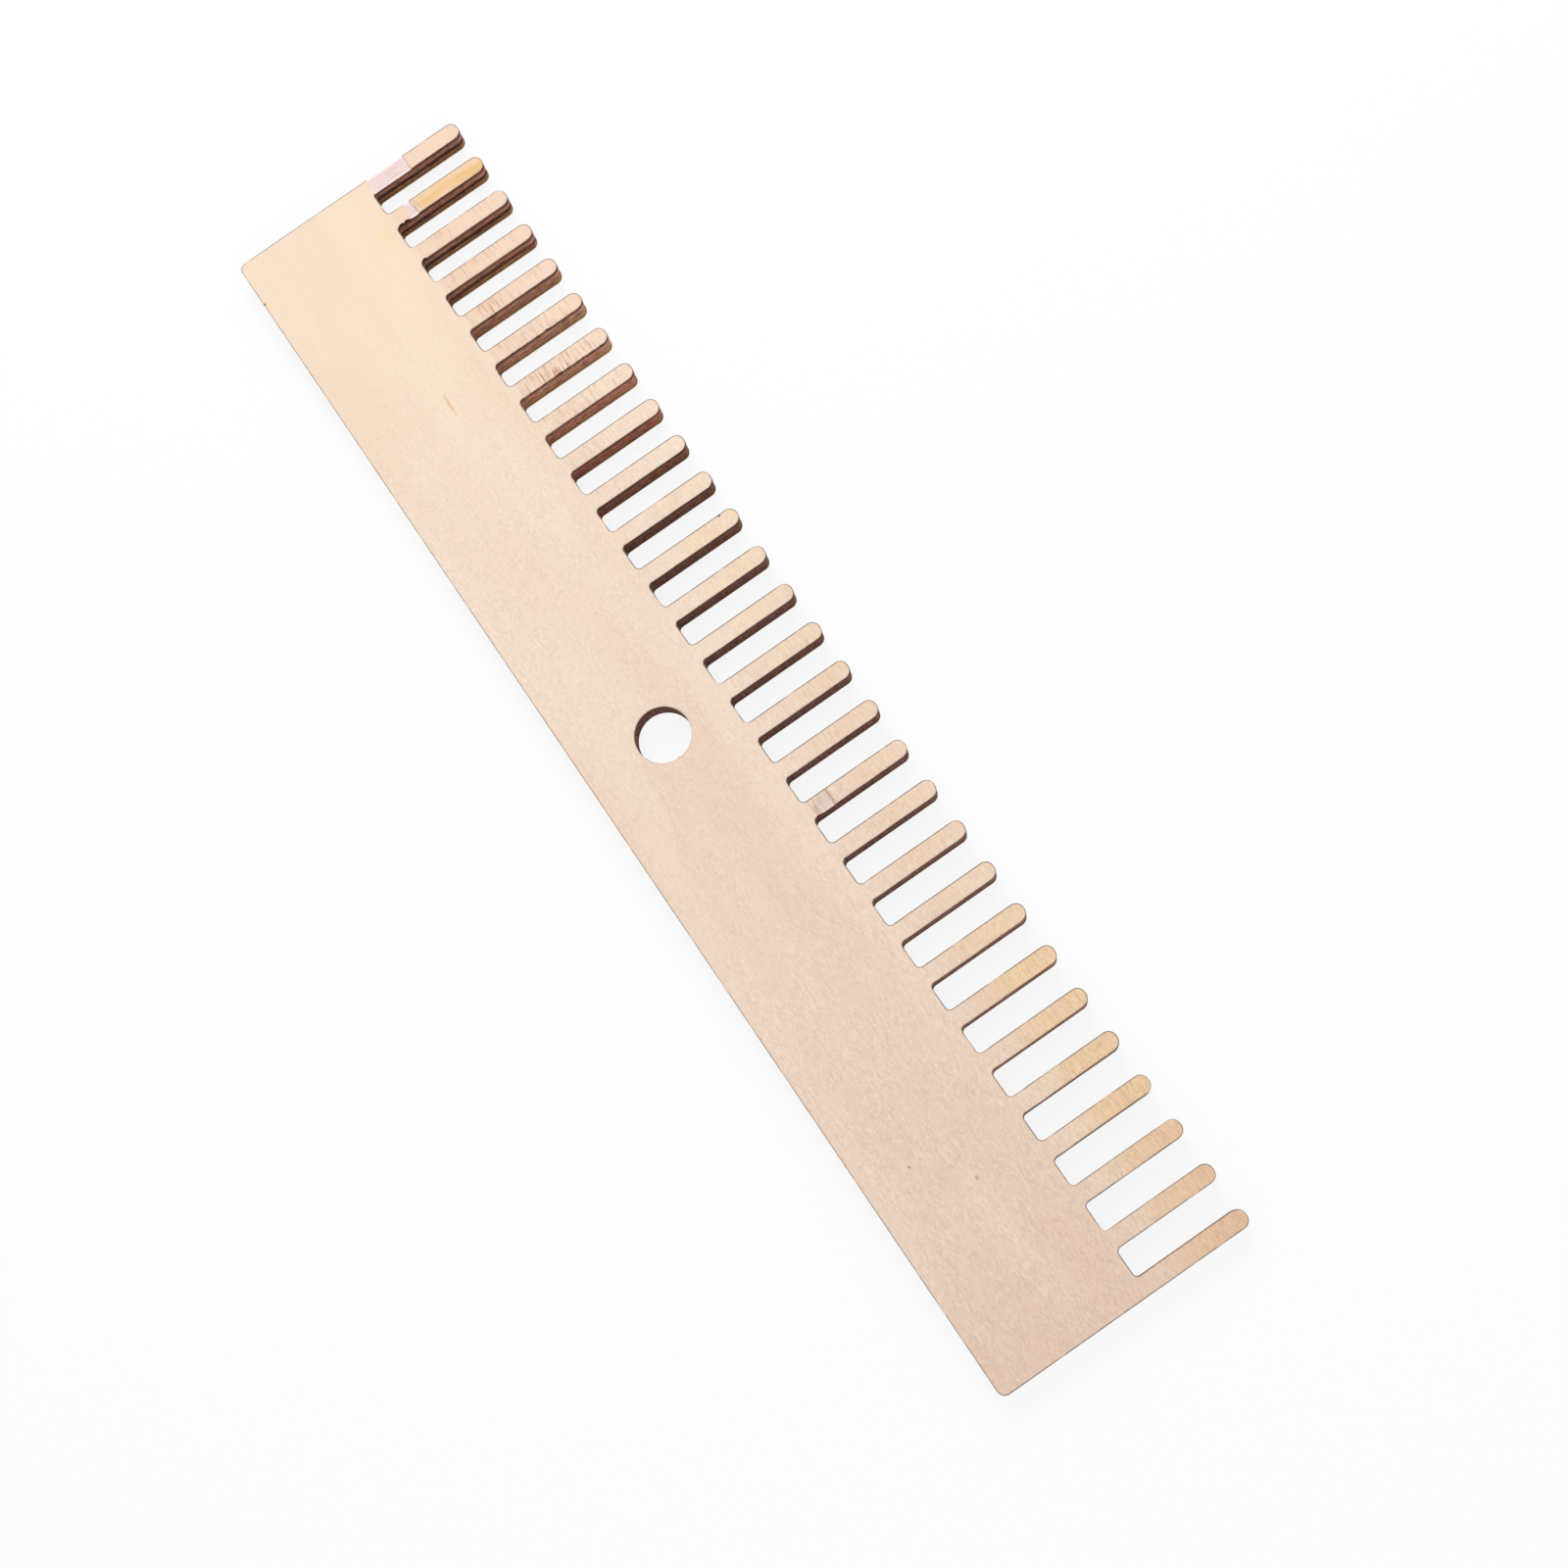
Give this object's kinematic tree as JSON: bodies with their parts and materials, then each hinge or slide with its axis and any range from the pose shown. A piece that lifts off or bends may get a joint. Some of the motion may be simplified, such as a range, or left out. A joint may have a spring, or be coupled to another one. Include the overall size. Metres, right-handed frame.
{
  "type": "weaving comb",
  "caption": "Flat plywood weaving comb with a row of straight, round-tipped teeth along one edge and a round hanging hole in its solid back, for beating down weft.",
  "frame": {"origin": "under the middle of the comb, on its back face", "axes": "+X along the row of teeth, +Y from the back edge to the tips, +Z out of the front face"},
  "size_m": [0.2, 0.0398, 0.0035],
  "materials": {
    "face_veneer": "bare matte pale veneer, grain along the comb, cut edges lightly scorched",
    "core_veneer": "bare core veneer, grain along the teeth, cut edges scorched brown",
    "glue_line": "cured glue film, scorched dark at the cut edges"
  },
  "bodies": {
    "root": {"back_veneer": "face_veneer", "back_glue_line": "glue_line", "core_veneer": "core_veneer", "front_glue_line": "glue_line", "front_veneer": "face_veneer"}
  },
  "joints": []
}
